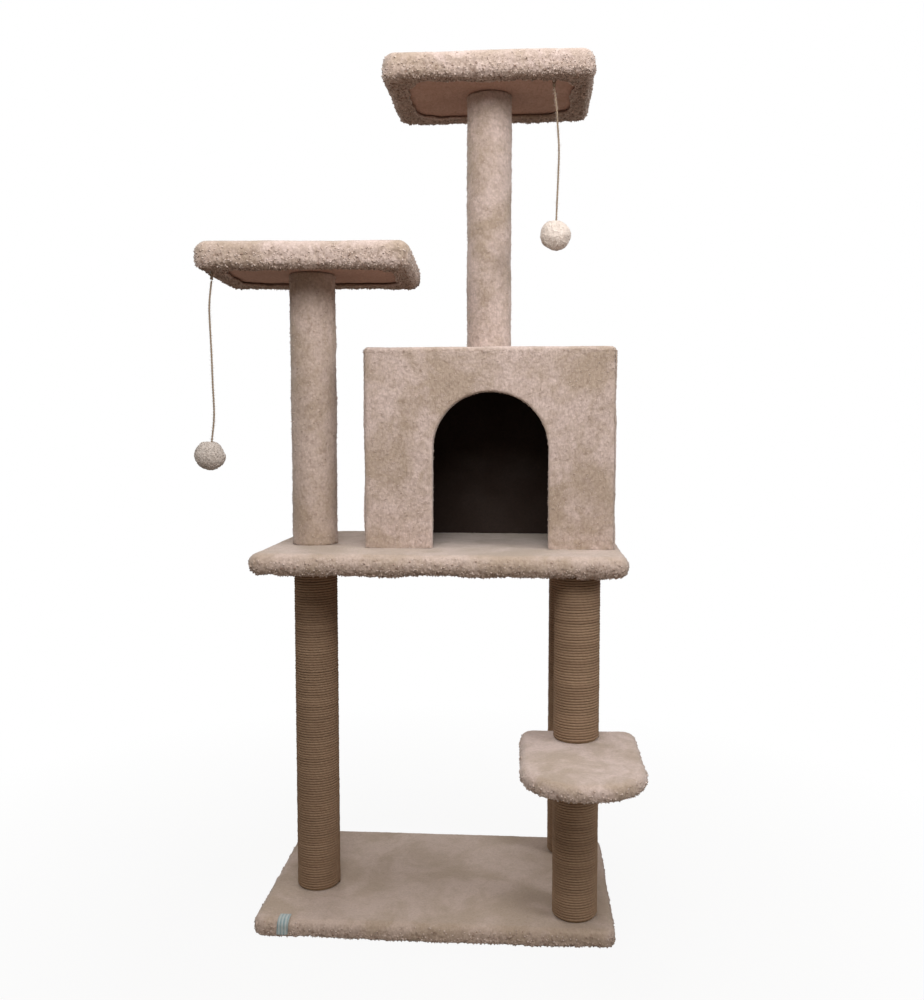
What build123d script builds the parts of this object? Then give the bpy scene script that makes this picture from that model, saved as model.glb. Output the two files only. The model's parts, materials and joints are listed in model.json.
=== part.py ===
from build123d import *
import math
import os

# A free-standing cat tree: a plush-covered base, three twine-wound posts, a mid platform with an arched
# condo on it, a half-round step clamped in the front right post, two plush posts that each carry a square
# perch, and a ball toy on a string under each perch.
#
# Millimetres, +Z up. The front, with the condo's door, faces -Y. The origin is on the floor, under the
# middle of the whole tree's outline.

# ---------------------------------------------------------------- driving dimensions
PILE = 6.0  # plush over a board, backing and pile together
GAP = 0.1  # play between a board's edge and the cover round it
FLOOR = 0.0

BASE_CENTRE = (24.0, 79.0)
BASE_SIZE = (572.0, 346.0)
BASE_BOARD = 16.0

PLATFORM_CENTRE = (33.0, 71.0)
PLATFORM_SIZE = (574.0, 352.0)
PLATFORM_LOW = 582.0  # underside of the turned-under fabric
PLATFORM_BOARD = 18.0

PERCH_SIZE = (322.0, 232.0)
PERCH_BOARD = 16.0
PERCH_PAD = 8.0
LEFT_PERCH_LOW = 1048.0
LEFT_PERCH_TURN = 2.75  # degrees, as it was tightened on its post
TOP_PERCH_LOW = 1347.0

STEP_CENTRE_X = 253.0
STEP_WIDTH = 184.0
STEP_BACK = 5.0
STEP_FRONT = -249.0
STEP_LOW = 291.4
STEP_BOARD = 12.0
STEP_BACK_CORNER = 16.0
STEP_FRONT_CORNER = 84.0

PLAN_CORNER = 15.0
EDGE_ROUND = 9.0
BASE_FLANGE = 15.0  # fabric turned under a base or platform board
PERCH_FLANGE = 28.0

TUBE_R = 32.0
TUBE_WALL = 4.0
TWINE_R = 36.0
SLEEVE_R = 37.0
LEFT_POST = (-182.0, 37.0)
FRONT_POST = (249.0, -37.0)
BACK_POST = (246.0, 195.0)
TOP_POST = (104.0, 105.0)

CONDO_LEFT = -91.0
CONDO_FRONT = -18.0
CONDO_SIZE = (400.0, 250.0)
CONDO_TOP = 930.5
CONDO_BOARD = 12.0
DOOR_CENTRE = 111.3
DOOR_WIDTH = 184.0
DOOR_SPRING = 769.0  # height where the arch starts
DOOR_LINING = 4.0

PLUG_DEPTH = 18.0
INSERT_R = 5.0
INSERT_LENGTH = 16.0
BOLT_R = 3.9
BOLT_HOLE_R = 4.4
THREAD_R = 4.0
HEAD_R = 9.0
HEAD_HEIGHT = 3.0
CAP_R = 7.0
CAP_HEIGHT = 4.5
SOCKET_R = 2.5
WASHER_R = 10.0
WASHER_HEIGHT = 1.5
COUNTERBORE_R = 12.0

SCREW_R = 2.0
SCREW_HEAD_R = 4.0
SCREW_HEAD_HEIGHT = 2.4
SCREW_PLAY = 0.1

STAPLE_CROWN = 10.0
STAPLE_WIDE = 1.2
STAPLE_THICK = 0.8
STAPLE_BITE = 7.0
STAPLE_PITCH = 85.0
STAPLE_SUNK = 1.0

STRING_R = 1.7
BALL_R = 24.0
BALL_CORE_R = 19.4
LOOP_R = 3.4  # middle of the loop's twine
LOOP_TWINE_R = 1.3
CROWN_DROP = 5.2  # the hanging staple's crown stands this far below what it is driven into
CROWN_WIRE_R = 0.6
CROWN_HALF = 5.0
CROWN_LEG = 12.0
KNOT_R = 3.2
LOOP_SLACK = 1.2  # the loop's middle hangs this far below the crown
KNOT_DROP = 7.4  # knot's middle below the crown
STRING_START = 3.5  # the string starts this far from the knot's middle
LEFT_TOY = (-321.0, -51.0)
RIGHT_TOY = (209.0, 24.0)

# Each string's route: sideways, front to back and down from the knot's middle to the ball's top.
LEFT_STRING = [
    (0.0, 0.0, -3.5),
    (-5.5, 1.5, -35.0),
    (-5.0, 3.0, -72.0),
    (-2.6, 1.5, -120.0),
    (-1.0, -1.0, -166.0),
    (0.6, 0.0, -208.0),
    (-2.8, 1.5, -237.0),
    (-5.6, 1.0, -257.0),
]
RIGHT_STRING = [
    (0.0, 0.0, -3.5),
    (4.2, -1.0, -27.0),
    (6.2, -2.5, -65.0),
    (8.8, -1.5, -96.0),
    (7.9, 0.8, -134.0),
    (6.2, 0.5, -174.0),
    (4.8, -0.5, -213.0),
]

TAG_WIDTH = 18.0
TAG_LEFT = -222.0
TAG_THICK = 0.8
TAG_LIFT = 0.3
TAG_BOTTOM = 6.0
TAG_BACK = 12.0  # how far it reaches back over the base's top

# ---------------------------------------------------------------- heights that follow
BASE_TOP = 2 * PILE + BASE_BOARD
PLATFORM_UNDER = PLATFORM_LOW + PILE  # the bare board's underside
PLATFORM_BOARD_TOP = PLATFORM_UNDER + PLATFORM_BOARD
PLATFORM_TOP = PLATFORM_BOARD_TOP + PILE
STEP_TOP = STEP_LOW + 2 * PILE + STEP_BOARD
LEFT_PERCH_UNDER = LEFT_PERCH_LOW + PILE
TOP_PERCH_UNDER = TOP_PERCH_LOW + PILE
ROOF_BOARD_TOP = CONDO_TOP - PILE
ROOF_UNDER = ROOF_BOARD_TOP - CONDO_BOARD

# name: plan position, foot, head, outer radius of what covers the tube
POSTS = {
    "left_lower": (LEFT_POST, BASE_TOP, PLATFORM_UNDER, TWINE_R),
    "left_upper": (LEFT_POST, PLATFORM_TOP, LEFT_PERCH_UNDER, SLEEVE_R),
    "front_right_lower": (FRONT_POST, BASE_TOP, STEP_LOW, TWINE_R),
    "front_right_upper": (FRONT_POST, STEP_TOP, PLATFORM_UNDER, TWINE_R),
    "back_right": (BACK_POST, BASE_TOP, PLATFORM_UNDER, TWINE_R),
    "top": (TOP_POST, CONDO_TOP, TOP_PERCH_UNDER, SLEEVE_R),
}


def save(node, shape):
    """Write one node's solid, or a group of separate solids, to parts/."""
    whole = Compound(shape) if isinstance(shape, list) else shape
    export_step(whole, f"parts/{node}.step")


def rod(place, low, high, radius):
    """An upright cylinder at a plan position."""
    return Pos(place[0], place[1], (low + high) / 2) * Cylinder(radius, high - low)


def ring(place, low, high, inner, outer):
    return rod(place, low, high, outer) - rod(place, low - 1, high + 1, inner)


def brick(low_corner, high_corner):
    """A box between two opposite corners."""
    size = [b - a for a, b in zip(low_corner, high_corner)]
    middle = [(a + b) / 2 for a, b in zip(low_corner, high_corner)]
    return Pos(*middle) * Box(*size)


def rounded(outline, low, high, edge=0.0):
    """Extrude a plan outline and, if asked, round its top and bottom edges."""
    body = extrude(Pos(0, 0, low) * outline, high - low)
    if edge:
        levels = body.edges().group_by(Axis.Z)
        body = fillet(levels[0] + levels[-1], edge)
    return body


def plan_rectangle(size, inset, corner):
    return RectangleRounded(size[0] - 2 * inset, size[1] - 2 * inset, corner)


def step_outline(inset):
    """Square at the back with small corners, and nearly a half circle at the front."""
    left = STEP_CENTRE_X - STEP_WIDTH / 2 + inset
    right = STEP_CENTRE_X + STEP_WIDTH / 2 - inset
    front, back = STEP_FRONT + inset, STEP_BACK - inset
    corners = [(left, front), (right, front), (right, back), (left, back)]
    outline = make_face(Polyline(*corners, close=True))
    by_depth = outline.vertices().group_by(Axis.Y)
    outline = fillet(by_depth[0], STEP_FRONT_CORNER - inset)
    return fillet(outline.vertices().group_by(Axis.Y)[-1], STEP_BACK_CORNER - inset)


# ---------------------------------------------------------------- staples that hold the fabric
def staple(place, low, along_x):
    """A flat-wire staple, crown down, whose legs go up into the board."""
    x, y = place
    half = STAPLE_CROWN / 2
    wide = STAPLE_WIDE / 2
    foot = low + STAPLE_SUNK
    tip = low + PILE + STAPLE_BITE
    crown = brick((x - half, y - wide, foot), (x + half, y + wide, foot + STAPLE_THICK))
    legs = [
        brick((x + s - STAPLE_THICK / 2, y - wide, foot), (x + s + STAPLE_THICK / 2, y + wide, tip))
        for s in (-half + STAPLE_THICK / 2, half - STAPLE_THICK / 2)
    ]
    body = crown + legs[0] + legs[1]
    if along_x:
        return body
    return Pos(x, y, 0) * Rot(0, 0, 90) * Pos(-x, -y, 0) * body


def staple_slot(place, low, along_x):
    """The dent that a staple's crown makes, open downwards."""
    x, y = place
    half = [STAPLE_CROWN / 2, STAPLE_WIDE / 2]
    if not along_x:
        half.reverse()
    return brick((x - half[0], y - half[1], low - 1), (x + half[0], y + half[1], low + STAPLE_SUNK))


def staple_places(size, inset, avoid):
    """Places for staples along the four sides of a rectangle, none of them near the points to avoid."""
    half_x, half_y = size[0] / 2 - inset, size[1] / 2 - inset
    places = []
    for along_x, run, across in ((True, half_x, half_y), (False, half_y, half_x)):
        count = max(2, round(2 * run / STAPLE_PITCH))
        for i in range(count):
            t = -run + 2 * run * (i + 0.5) / count
            for s in (-across, across):
                places.append(((t, s) if along_x else (s, t), along_x))
    return [p for p in places if all(math.dist(p[0], a) > 2 * CROWN_LEG for a in avoid)]


def upholstered(outline, low, board, pad, bare, places, holes):
    """A board with plush over its top and sides, turned under and stapled.

    outline gives the plan shape for an inset; bare is the outline that the fabric leaves open below, or
    None where the fabric covers the whole underside; holes are solids cut from all the layers.
    """
    high = low + 2 * PILE + board + pad
    layers = {"board": rounded(outline(PILE), low + PILE, low + PILE + board)}
    if pad:
        layers["pad"] = rounded(outline(PILE), low + PILE + board, high - PILE)
    cavity = rounded(outline(PILE - GAP), low + PILE, high - PILE)
    cover = rounded(outline(0), low, high, EDGE_ROUND) - cavity
    if bare is not None:
        cover -= rounded(bare, low - 1, low + PILE + 1)
    staples = [staple(p, low, along) for p, along in places]
    if staples:
        slots = [staple_slot(p, low, along) for p, along in places]
        cover = cover - staples - slots
        layers["board"] = layers["board"] - staples
    layers["cover"] = cover
    for name in layers:
        for hole in holes:
            layers[name] = layers[name] - hole
    return layers, staples


# ---------------------------------------------------------------- posts
def build_posts():
    plugs, inserts = [], []
    for name, (place, foot, head, radius) in POSTS.items():
        save(f"{name}_post_tube", ring(place, foot, head, TUBE_R - TUBE_WALL, TUBE_R))
        skin = "twine" if radius == TWINE_R else "plush"
        save(f"{name}_post_{skin}", ring(place, foot, head, TUBE_R + GAP, radius))
        for low, sleeve in ((foot, foot), (head - PLUG_DEPTH, head - INSERT_LENGTH)):
            bore = rod(place, sleeve, sleeve + INSERT_LENGTH, INSERT_R + GAP)
            through = rod(place, low - 1, low + PLUG_DEPTH + 1, BOLT_HOLE_R)
            plugs.append(rod(place, low, low + PLUG_DEPTH, TUBE_R - TUBE_WALL - GAP) - bore - through)
            inserts.append(ring(place, sleeve, sleeve + INSERT_LENGTH, THREAD_R, INSERT_R))
    save("post_end_plugs", plugs)
    save("threaded_inserts", inserts)


def cap_bolt(place, low, high):
    """A bolt that points up, with a round cap head below low and a hexagon socket in the head."""
    foot = low - CAP_HEIGHT
    socket = extrude(Pos(place[0], place[1], foot) * RegularPolygon(SOCKET_R, 6), CAP_HEIGHT / 2)
    return rod(place, low, high, BOLT_R) + rod(place, foot, low, CAP_R) - socket


def carriage_bolt(place, low, board_top):
    """A bolt whose flat head is sunk in a board's top and whose shank points down."""
    return rod(place, low, board_top, BOLT_R) + rod(place, board_top - HEAD_HEIGHT, board_top, HEAD_R)


def head_recess(place, board_top):
    return rod(place, board_top - HEAD_HEIGHT, board_top, HEAD_R + GAP)


def build_fasteners():
    bolts, washers = [], []
    for place in (LEFT_POST, FRONT_POST, BACK_POST):
        under_washer = PILE + CAP_HEIGHT
        washer_top = under_washer + WASHER_HEIGHT
        bolts.append(cap_bolt(place, under_washer, BASE_TOP + INSERT_LENGTH))
        washers.append(ring(place, under_washer, washer_top, THREAD_R, WASHER_R))
    roof_face = ROOF_UNDER - WASHER_HEIGHT
    washers.append(ring(TOP_POST, roof_face, ROOF_UNDER, THREAD_R, WASHER_R))
    save("base_bolts", bolts)
    save("bolt_washers", washers)
    save("condo_roof_bolt", cap_bolt(TOP_POST, roof_face, CONDO_TOP + INSERT_LENGTH))
    save("left_post_stud", rod(LEFT_POST, PLATFORM_UNDER - INSERT_LENGTH, PLATFORM_TOP + INSERT_LENGTH, BOLT_R))
    save("step_stud", rod(FRONT_POST, STEP_LOW - INSERT_LENGTH, STEP_TOP + INSERT_LENGTH, BOLT_R))
    low = PLATFORM_UNDER - INSERT_LENGTH
    save("platform_bolts", [carriage_bolt(p, low, PLATFORM_BOARD_TOP) for p in (FRONT_POST, BACK_POST)])
    save(
        "perch_bolts",
        [
            carriage_bolt(place, under - INSERT_LENGTH, under + PERCH_BOARD)
            for place, under in ((LEFT_POST, LEFT_PERCH_UNDER), (TOP_POST, TOP_PERCH_UNDER))
        ],
    )


# ---------------------------------------------------------------- base, platform, step
def centred(size, centre):
    """Plan outline of a rectangle at a centre, as a function of its inset."""
    return lambda inset: Pos(*centre) * plan_rectangle(size, inset, PLAN_CORNER - inset)


def bare_outline(size, centre, flange):
    return Pos(*centre) * plan_rectangle(size, flange, PLAN_CORNER)


def shifted(places, centre):
    return [((x + centre[0], y + centre[1]), along) for (x, y), along in places]


def build_base():
    holes = [rod(p, FLOOR - 1, BASE_TOP + 1, BOLT_HOLE_R) for p in (LEFT_POST, FRONT_POST, BACK_POST)]
    places = shifted(staple_places(BASE_SIZE, BASE_FLANGE / 2, []), BASE_CENTRE)
    bare = bare_outline(BASE_SIZE, BASE_CENTRE, BASE_FLANGE)
    layers, staples = upholstered(centred(BASE_SIZE, BASE_CENTRE), FLOOR, BASE_BOARD, 0, bare, places, holes)
    bore_depth = CAP_HEIGHT + WASHER_HEIGHT
    for place in (LEFT_POST, FRONT_POST, BACK_POST):
        layers["board"] -= rod(place, PILE, PILE + bore_depth, COUNTERBORE_R)
    save("base_board", layers["board"])
    save("base_cover", layers["cover"])
    return staples


def build_platform(screws):
    posts = (LEFT_POST, FRONT_POST, BACK_POST)
    holes = [rod(p, PLATFORM_LOW - 1, PLATFORM_BOARD_TOP, BOLT_HOLE_R) for p in posts]
    holes.append(rod(LEFT_POST, PLATFORM_BOARD_TOP - 1, PLATFORM_TOP + 1, BOLT_HOLE_R))
    holes += [head_recess(p, PLATFORM_BOARD_TOP) for p in (FRONT_POST, BACK_POST)]
    local = staple_places(PLATFORM_SIZE, BASE_FLANGE / 2, [])
    places = shifted(local, PLATFORM_CENTRE)
    places = [p for p in places if all(math.dist(p[0], q) > TWINE_R + STAPLE_CROWN for q in posts)]
    bare = bare_outline(PLATFORM_SIZE, PLATFORM_CENTRE, BASE_FLANGE)
    outline = centred(PLATFORM_SIZE, PLATFORM_CENTRE)
    layers, staples = upholstered(outline, PLATFORM_LOW, PLATFORM_BOARD, 0, bare, places, holes + screws)
    save("platform_board", layers["board"])
    save("platform_cover", layers["cover"])
    return staples


def build_step():
    hole = rod(FRONT_POST, STEP_LOW - 1, STEP_TOP + 1, BOLT_HOLE_R)
    rows = (STEP_FRONT + 60.0, STEP_BACK - 75.0)
    sides = (STEP_CENTRE_X - STEP_WIDTH / 2 + 22.0, STEP_CENTRE_X + STEP_WIDTH / 2 - 22.0)
    places = [((x, y), False) for x in sides for y in rows]
    places.append(((STEP_CENTRE_X, STEP_FRONT + 22.0), True))
    layers, staples = upholstered(step_outline, STEP_LOW, STEP_BOARD, 0, None, places, [hole])
    save("step_board", layers["board"])
    save("step_cover", layers["cover"])
    return staples


# ---------------------------------------------------------------- condo
def arch(width, front, back):
    """The doorway's solid: straight sides, with a half circle on top, through the wall from front to back."""
    foot = PLATFORM_TOP - 1
    low = (DOOR_CENTRE - width / 2, front, foot)
    high = (DOOR_CENTRE + width / 2, back, DOOR_SPRING)
    crown = Pos(DOOR_CENTRE, (front + back) / 2, DOOR_SPRING) * Rot(90, 0, 0)
    return brick(low, high) + crown * Cylinder(width / 2, back - front)


def screw(place, direction, length, play=0.0):
    """A countersunk screw whose head is flush at place and which points along direction."""
    shank = Pos(0, 0, length / 2) * Cylinder(SCREW_R + play, length)
    head = Cone(SCREW_HEAD_R + play, SCREW_R + play, SCREW_HEAD_HEIGHT)
    body = shank + Pos(0, 0, SCREW_HEAD_HEIGHT / 2) * head
    turn = {"up": Rot(0, 0, 0), "down": Rot(180, 0, 0), "back": Rot(-90, 0, 0), "front": Rot(90, 0, 0)}
    return Pos(*place) * turn[direction] * body


def condo_screws(play=0.0):
    left, front = CONDO_LEFT + PILE, CONDO_FRONT + PILE
    right, back = CONDO_LEFT + CONDO_SIZE[0] - PILE, CONDO_FRONT + CONDO_SIZE[1] - PILE
    half = CONDO_BOARD / 2
    middle_x, middle_y = (left + right) / 2, (front + back) / 2
    spread = 160.0
    wall_points = [(middle_x + s * spread, y) for s in (-1, 1) for y in (front + half, back - half)]
    wall_points += [(middle_x, back - half), (left + half, middle_y), (right - half, middle_y)]
    screws = [screw((x, y, PLATFORM_UNDER), "up", 45.0, play) for x, y in wall_points]
    roof_points = wall_points + [(middle_x, front + half)]
    screws += [screw((x, y, ROOF_BOARD_TOP), "down", 35.0, play) for x, y in roof_points]
    for x in (left + half, right - half):
        for z in (PLATFORM_TOP + 50.0, ROOF_UNDER - 50.0):
            screws.append(screw((x, front, z), "back", 35.0, play))
            screws.append(screw((x, back, z), "front", 35.0, play))
    return screws


def build_condo():
    width, depth = CONDO_SIZE
    right, back = CONDO_LEFT + width, CONDO_FRONT + depth
    b = CONDO_BOARD
    left_in, right_in = CONDO_LEFT + PILE, right - PILE
    front_in, back_in = CONDO_FRONT + PILE, back - PILE
    low, high = PLATFORM_TOP, ROOF_UNDER
    holes = condo_screws(SCREW_PLAY)
    front = brick((left_in, front_in, low), (right_in, front_in + b, high))
    front -= arch(DOOR_WIDTH + 2 * DOOR_LINING, front_in - 1, front_in + b + 1)
    save("condo_front_board", front - holes)
    save("condo_back_board", brick((left_in, back_in - b, low), (right_in, back_in, high)) - holes)
    save("condo_left_board", brick((left_in, front_in + b, low), (left_in + b, back_in - b, high)) - holes)
    save("condo_right_board", brick((right_in - b, front_in + b, low), (right_in, back_in - b, high)) - holes)
    roof = brick((left_in, front_in, high), (right_in, back_in, ROOF_BOARD_TOP))
    save("condo_roof_board", roof - holes - rod(TOP_POST, high - 1, ROOF_BOARD_TOP + 1, BOLT_HOLE_R))

    centre = (CONDO_LEFT + width / 2, CONDO_FRONT + depth / 2)
    wall = rounded(Pos(*centre) * RectangleRounded(width, depth, PILE), low, ROOF_BOARD_TOP)
    wall -= brick((left_in, front_in, low - 1), (right_in, back_in, ROOF_BOARD_TOP + 1))
    wall -= arch(DOOR_WIDTH, CONDO_FRONT - 1, front_in + 1)
    clear = arch(DOOR_WIDTH, front_in - 2, front_in + b + 2)
    lining = arch(DOOR_WIDTH + 2 * (DOOR_LINING - GAP), front_in, front_in + b) - clear
    lining -= brick((CONDO_LEFT, CONDO_FRONT, low - 5), (right, back, low))
    save("condo_wall_cover", wall + lining)
    top = rounded(Pos(*centre) * RectangleRounded(width, depth, PILE), ROOF_BOARD_TOP, CONDO_TOP)
    top = fillet(top.edges().group_by(Axis.Z)[-1], PILE - 1)
    save("condo_roof_cover", top - rod(TOP_POST, ROOF_BOARD_TOP - 1, CONDO_TOP + 1, BOLT_HOLE_R))
    save("condo_screws", condo_screws())


# ---------------------------------------------------------------- perches and their toys
def hanging_staple(place, surface):
    """A round-wire staple whose crown runs front to back below the surface that its legs go into."""
    x, y = place
    crown_z = surface - CROWN_DROP
    top = surface + CROWN_LEG
    path = FilletPolyline(
        (x, y - CROWN_HALF, top),
        (x, y - CROWN_HALF, crown_z),
        (x, y + CROWN_HALF, crown_z),
        (x, y + CROWN_HALF, top),
        radius=2 * CROWN_WIRE_R,
    )
    start = Plane(origin=path @ 0, z_dir=path % 0)
    return sweep(start * Circle(CROWN_WIRE_R), path=path)


def staple_leg_holes(place, low, high):
    x, y = place
    return [rod((x, y + s), low, high, CROWN_WIRE_R + GAP) for s in (-CROWN_HALF, CROWN_HALF)]


def twine_route(knot, route):
    """The string's middle line: straight runs with the largest arcs that they leave room for."""
    points = [Vector(knot[0] + x, knot[1] + y, knot[2] + z) for x, y, z in route]
    radii = []
    for a, b, c in zip(points, points[1:], points[2:]):
        turn = math.radians((b - a).get_angle(c - b))
        shorter = min((b - a).length, (c - b).length)
        radii.append(0.45 * shorter / math.tan(turn / 2))
    return FilletPolyline(*points, radius=radii), radii


def build_toy(side, place, surface, route):
    crown_z = surface - CROWN_DROP
    save(f"{side}_toy_staple", hanging_staple(place, surface))
    ring_middle = Pos(place[0], place[1], crown_z - LOOP_SLACK) * Rot(90, 0, 0)
    knot = (place[0], place[1], crown_z - KNOT_DROP)
    save(f"{side}_toy_loop", ring_middle * Torus(LOOP_R, LOOP_TWINE_R) + Pos(*knot) * Sphere(KNOT_R))

    path, radii = twine_route(knot, route)
    start = Plane(origin=path @ 0, z_dir=path % 0)
    string = sweep(start * Circle(STRING_R), path=path)
    expected = math.pi * STRING_R**2 * path.length
    print(f"{side} string: length {path.length:.1f}, radii {[round(r) for r in radii]}")
    print(f"  volume {string.volume:.1f}, section times length {expected:.1f}")
    save(f"{side}_toy_string", string)

    end, heading = path @ 1, path % 1
    middle = end + heading * (BALL_CORE_R + 2 * GAP)
    # Turned so that the spheres' poles and seams stay clear of the hole.
    sideways = Pos(*middle) * Rot(0, 90, 0)
    ball = sideways * Sphere(BALL_R) - sideways * Sphere(BALL_CORE_R + GAP)
    entry = Plane(origin=middle, z_dir=-heading) * Pos(0, 0, BALL_R / 2)
    ball -= entry * Cylinder(STRING_R + GAP, BALL_R + 4)
    save(f"{side}_ball_cover", ball)
    save(f"{side}_ball_core", sideways * Sphere(BALL_CORE_R))
    print(f"  knot {[round(v, 2) for v in knot]}, ball {[round(v, 2) for v in middle]}")


def build_perch(side, centre, low, turn, post, toy, toy_surface):
    """A perch: board, foam pad and plush cover, screwed to its post through the board's middle."""
    place = Pos(centre[0], centre[1], 0) * Rot(0, 0, turn)
    outline = lambda inset: place * plan_rectangle(PERCH_SIZE, inset, PLAN_CORNER - inset)
    bare = place * plan_rectangle(PERCH_SIZE, PERCH_FLANGE, PLAN_CORNER)
    board_top = low + PILE + PERCH_BOARD
    holes = [rod(post, low - 1, board_top, BOLT_HOLE_R), head_recess(post, board_top)]
    holes += staple_leg_holes(toy, low - 1, toy_surface + CROWN_LEG + GAP)
    layers, _ = upholstered(outline, low, PERCH_BOARD, PERCH_PAD, bare, [], holes)

    angle = math.radians(turn)
    across = Vector(math.cos(angle), math.sin(angle)), Vector(-math.sin(angle), math.cos(angle))
    offset = Vector(toy[0] - centre[0], toy[1] - centre[1])
    toy_local = (offset.dot(across[0]), offset.dot(across[1]))
    staples = []
    for spot, along in staple_places(PERCH_SIZE, PERCH_FLANGE / 2, [toy_local]):
        staples.append(place * staple(spot, low, along))
        layers["cover"] -= place * staple_slot(spot, low, along)
    save(f"{side}_perch_board", layers["board"] - staples)
    save(f"{side}_perch_pad", layers["pad"])
    save(f"{side}_perch_cover", layers["cover"] - staples)
    return staples


# ---------------------------------------------------------------- tag
def build_tag():
    """A blank ribbon label, bent over the base's top front edge."""
    front = BASE_CENTRE[1] - BASE_SIZE[1] / 2
    inner, outer = EDGE_ROUND + TAG_LIFT, EDGE_ROUND + TAG_LIFT + TAG_THICK
    bend_y, bend_z = front + EDGE_ROUND, BASE_TOP - EDGE_ROUND
    x = (TAG_LEFT, TAG_LEFT + TAG_WIDTH)
    fold = Pos((x[0] + x[1]) / 2, bend_y, bend_z) * Rot(0, 90, 0)
    bend = fold * (Cylinder(outer, TAG_WIDTH) - Cylinder(inner, TAG_WIDTH + 1))
    bend &= brick((x[0] - 1, bend_y - outer - 1, bend_z), (x[1] + 1, bend_y, bend_z + outer + 1))
    hanging = brick((x[0], bend_y - outer, TAG_BOTTOM), (x[1], bend_y - inner, bend_z))
    lying = brick((x[0], bend_y, bend_z + inner), (x[1], bend_y + TAG_BACK, bend_z + outer))
    save("base_tag", bend + hanging + lying)


def main():
    os.makedirs("parts", exist_ok=True)
    build_posts()
    build_fasteners()
    staples = build_base()
    staples += build_platform(condo_screws(SCREW_PLAY))
    staples += build_step()
    build_condo()
    left_centre = (LEFT_POST[0] + 3, LEFT_POST[1])
    top_centre = (TOP_POST[0] + 2, TOP_POST[1] - 1)
    staples += build_perch(
        "left", left_centre, LEFT_PERCH_LOW, LEFT_PERCH_TURN, LEFT_POST, LEFT_TOY, LEFT_PERCH_LOW
    )
    staples += build_perch("top", top_centre, TOP_PERCH_LOW, 0.0, TOP_POST, RIGHT_TOY, TOP_PERCH_UNDER)
    save("cover_staples", staples)
    build_toy("left", LEFT_TOY, LEFT_PERCH_LOW, LEFT_STRING)
    build_toy("right", RIGHT_TOY, TOP_PERCH_UNDER, RIGHT_STRING)
    build_tag()


main()
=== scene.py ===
import json
import math

import bmesh
import bpy
import numpy as np
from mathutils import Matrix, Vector


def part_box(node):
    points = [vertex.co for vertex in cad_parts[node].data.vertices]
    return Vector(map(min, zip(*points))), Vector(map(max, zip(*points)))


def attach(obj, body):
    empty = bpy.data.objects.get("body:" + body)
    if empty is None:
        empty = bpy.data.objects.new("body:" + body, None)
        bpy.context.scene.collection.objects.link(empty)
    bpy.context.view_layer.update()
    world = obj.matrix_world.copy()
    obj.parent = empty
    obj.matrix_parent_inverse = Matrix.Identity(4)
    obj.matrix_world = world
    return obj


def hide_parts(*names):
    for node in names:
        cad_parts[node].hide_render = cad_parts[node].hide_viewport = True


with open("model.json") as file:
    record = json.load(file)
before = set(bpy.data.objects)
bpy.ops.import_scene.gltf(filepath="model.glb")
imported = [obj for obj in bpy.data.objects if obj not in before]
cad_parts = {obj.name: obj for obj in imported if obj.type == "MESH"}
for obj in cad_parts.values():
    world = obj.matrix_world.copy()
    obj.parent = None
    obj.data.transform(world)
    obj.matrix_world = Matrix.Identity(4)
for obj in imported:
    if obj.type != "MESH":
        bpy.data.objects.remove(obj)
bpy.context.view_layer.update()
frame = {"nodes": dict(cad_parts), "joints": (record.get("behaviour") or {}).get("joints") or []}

# The looks of a cat tree: curly plush over its boards and upper posts, twine wound on its lower posts, and
# two ball toys on strings. Metres, +Z up, the front faces -Y.

# ------ named sizes
TURN = 2 * math.pi
CAMERA_PLACE = (0.170, -1.5027, 0.7989)
CAMERA_DOWN = 0.0732  # how far it looks down and to the left, in radians
CAMERA_LEFT = 0.0693

CELL = 0.0023  # a cell of a plush surface's grid
TOP_CELL = 0.0021
FINE_CELL = 0.0020
CURL = 0.0052  # distance between curls
PILE = 0.006  # plush, backing and pile together
SKIN = 0.0004  # how far into it a board's bed goes
HEM = 0.0024  # radius of the roll at a flange's cut edge
TUFTS = 60000  # loose curls on a square metre of the curliest pile
EDGE_TUFT = (0.0022, 0.0015)  # a loose curl's length and half its width
FLAT_TUFT = (0.0019, 0.0008)
BALL_TUFT = (0.0014, 0.0010)
PIT = 0.42  # pile lower than this, from 0 to 1, lies between curls
DIM_PITS = 0.62  # where pile is this curly, loose curls in its pits are of the darker shades, as painted shade
DIM_ALL = 1.3  # and here, on the turned-under flange, all of them are, as painted shade
SHORT_PILE = 0.42  # how curly the condo's walls and the posts are
INSIDE = -1.0  # how curly the inside of a sleeve is, which has no pile
SQUARE = 0.010  # corner radius of the condo's plan

BOARD_FLANGE = 0.015  # how much of a cover is turned under
PERCH_FLANGE = 0.030
PERCH_TURN = math.radians(2.75)
DOOR_CENTRE = 0.1113
DOOR_HALF = 0.092  # half the doorway's width, which is its arch's radius
DOOR_SPRING = 0.769  # where the arch starts
DOOR_DEPTH = 0.018
DOOR_ROUND = 0.004  # radius of the doorway's edge
FRONT_ROWS = 46  # rows of cells from the condo's border in to its doorway
SLEEVE = 0.0048  # thickness of a post's sleeve
SLEEVE_END = 0.0002  # gap at its ends

TWINE = 0.0022  # radius of the wound twine
TWINE_PITCH = 0.0042
TWINE_SIDES = 8
TWINE_STEPS = 40  # rings in a turn
TWINE_LAY = 0.0075  # length of one twist of its plies
STRING = 0.0017  # radius of a toy's string
PLIES = 2
BALL = 0.024
TAG_COLUMNS = 13
STRAY = (0.0042, 0.00012)  # a stray fibre's length and half its width

WHITE = (1.0, 1.0, 1.0)
FLOOR_HALF = 12.0

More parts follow.
